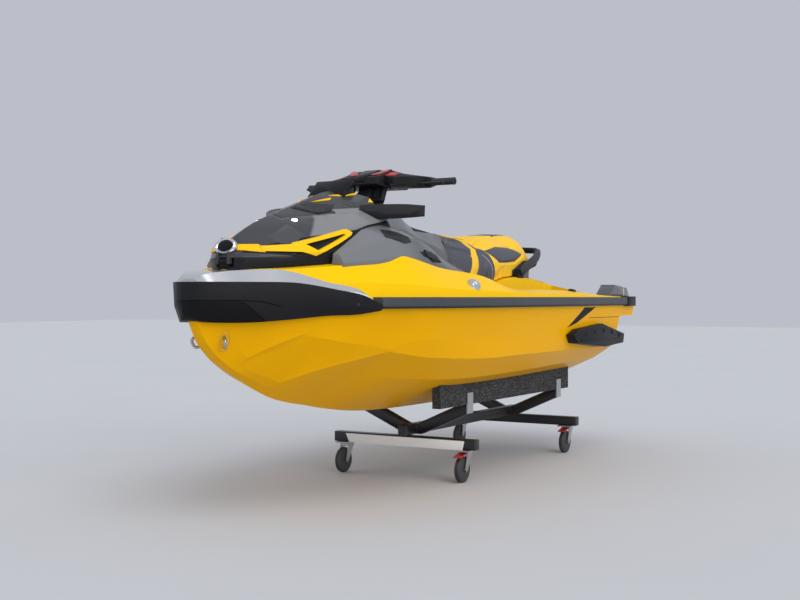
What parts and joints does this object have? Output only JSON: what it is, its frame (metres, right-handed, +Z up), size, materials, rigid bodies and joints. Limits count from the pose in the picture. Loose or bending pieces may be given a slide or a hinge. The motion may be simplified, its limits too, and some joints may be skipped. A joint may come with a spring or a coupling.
{
  "type": "personal watercraft",
  "caption": "Three-seat jet-driven personal watercraft with opening storage lids, steering, reverse bucket and jet pump, parked on its wheeled dolly.",
  "frame": {"origin": "on the floor under the middle of the craft, in the middle of its bounding box", "axes": "+X to the bow, +Y to port, +Z up"},
  "size_m": [3.45, 1.255, 1.48],
  "materials": {
    "aluminium": "cast",
    "black_gloss": "gloss black",
    "black_plastic": "satin moulded plastic",
    "black_rubber": "moulded rubber",
    "black_steel": "powder coated",
    "bunk_carpet": "carpet",
    "chrome": "polished",
    "dark_metal": "black coated",
    "engine_metal": "painted",
    "foam_mat": "grooved foam",
    "grey_gloss": "gloss grey",
    "lens": "clear lens",
    "metallic_grey": "metallic grey paint",
    "mirror": "mirror",
    "red_plastic": "red",
    "seat_vinyl": "grained vinyl",
    "silver_plastic": "silver paint",
    "steel": "zinc plated",
    "wheel_rubber": "moulded",
    "yellow_gelcoat": "gloss gelcoat",
    "yellow_plastic": "gloss yellow"
  },
  "bodies": {
    "craft": {"bow_band": "silver_plastic", "bow_bumper": "black_plastic", "bow_eyes": "steel", "bunk_brackets": "steel", "bunks": "bunk_carpet", "caster_plates": "steel", "console": "grey_gloss", "deck": "yellow_gelcoat", "dolly_frame": "black_steel", "engine_block": "engine_metal", "footwell_mats": "foam_mat", "fuel_cap": "chrome", "grab_handle": "black_plastic", "hood_base": "black_plastic", "hull": "yellow_gelcoat", "intake_grate": "aluminium", "jet_pump": "aluminium", "platform_mat": "foam_mat", "ride_plate": "aluminium", "rub_rails": "black_rubber", "seat_front": "seat_vinyl", "seat_rear": "seat_vinyl", "side_panels": "metallic_grey", "side_vents": "black_plastic", "sponsons": "black_plastic", "stern_fins": "metallic_grey", "stern_guard": "black_rubber", "tow_eye": "steel"},
    "storage_lid": {"hood_lid": "grey_gloss", "hood_cowl": "black_gloss", "headlights": "lens", "hood_trims": "yellow_plastic", "nose_badge": "chrome", "mirrors": "black_plastic", "mirror_glass": "mirror", "gauge": "black_gloss"},
    "glove_box_lid": {"glove_lid": "black_plastic"},
    "steering": {"steering_sleeve": "black_plastic", "handlebar_pad": "black_plastic", "handlebar": "dark_metal", "grips": "black_rubber", "hand_covers": "black_plastic", "levers": "dark_metal"},
    "nozzle": {"jet_nozzle": "aluminium"},
    "bucket": {"reverse_bucket": "aluminium"},
    "impeller": {"impeller": "steel"},
    "caster_front_port": {"caster_fork_front_port": "steel", "caster_brake_front_port": "red_plastic"},
    "wheel_front_port": {"caster_wheel_front_port": "wheel_rubber"},
    "caster_front_starboard": {"caster_fork_front_starboard": "steel"},
    "wheel_front_starboard": {"caster_wheel_front_starboard": "wheel_rubber"},
    "caster_rear_port": {"caster_fork_rear_port": "steel", "caster_brake_rear_port": "red_plastic"},
    "wheel_rear_port": {"caster_wheel_rear_port": "wheel_rubber"},
    "caster_rear_starboard": {"caster_fork_rear_starboard": "steel"},
    "wheel_rear_starboard": {"caster_wheel_rear_starboard": "wheel_rubber"}
  },
  "joints": [
    {"name": "storage_lid_hinge", "type": "hinge", "parent": "craft", "child": "storage_lid", "pos_m": [1.5, 0, 1.026], "axis": [0, 1, 0], "range_deg": [0, 55]},
    {"name": "glove_box_hinge", "type": "hinge", "parent": "craft", "child": "glove_box_lid", "pos_m": [0.268, 0, 1.234], "axis": [0, 1, 0], "range_deg": [0, 60]},
    {"name": "steering_turn", "type": "hinge", "parent": "craft", "child": "steering", "pos_m": [0.47, 0, 1.31], "axis": [-0.4226, 0, 0.9063], "range_deg": [-22, 22]},
    {"name": "nozzle_turn", "type": "hinge", "parent": "craft", "child": "nozzle", "pos_m": [-1.6, 0, 0.5], "axis": [0, 0, 1], "range_deg": [-18, 18]},
    {"name": "bucket_hinge", "type": "hinge", "parent": "craft", "child": "bucket", "pos_m": [-1.6, 0, 0.5], "axis": [0, -1, 0], "range_deg": [0, 65]},
    {"name": "impeller_spin", "type": "hinge", "parent": "craft", "child": "impeller", "pos_m": [-1.4, 0, 0.5], "axis": [1, 0, 0], "continuous": true},
    {"name": "caster_front_port_swivel", "type": "hinge", "parent": "craft", "child": "caster_front_port", "pos_m": [0.095, 0.338, 0.147], "axis": [0, 0, 1], "continuous": true},
    {"name": "wheel_front_port_spin", "type": "hinge", "parent": "caster_front_port", "child": "wheel_front_port", "pos_m": [0.13, 0.338, 0.0625], "axis": [0, 1, 0], "continuous": true},
    {"name": "caster_front_starboard_swivel", "type": "hinge", "parent": "craft", "child": "caster_front_starboard", "pos_m": [0.095, -0.338, 0.147], "axis": [0, 0, 1], "continuous": true},
    {"name": "wheel_front_starboard_spin", "type": "hinge", "parent": "caster_front_starboard", "child": "wheel_front_starboard", "pos_m": [0.13, -0.338, 0.0625], "axis": [0, 1, 0], "continuous": true},
    {"name": "caster_rear_port_swivel", "type": "hinge", "parent": "craft", "child": "caster_rear_port", "pos_m": [-1.17, 0.338, 0.147], "axis": [0, 0, 1], "continuous": true},
    {"name": "wheel_rear_port_spin", "type": "hinge", "parent": "caster_rear_port", "child": "wheel_rear_port", "pos_m": [-1.135, 0.338, 0.0625], "axis": [0, 1, 0], "continuous": true},
    {"name": "caster_rear_starboard_swivel", "type": "hinge", "parent": "craft", "child": "caster_rear_starboard", "pos_m": [-1.17, -0.338, 0.147], "axis": [0, 0, 1], "continuous": true},
    {"name": "wheel_rear_starboard_spin", "type": "hinge", "parent": "caster_rear_starboard", "child": "wheel_rear_starboard", "pos_m": [-1.135, -0.338, 0.0625], "axis": [0, 1, 0], "continuous": true}
  ],
  "couplings": [
    {"joint": "nozzle_turn", "follows": "steering_turn", "ratio": -0.8}
  ]
}
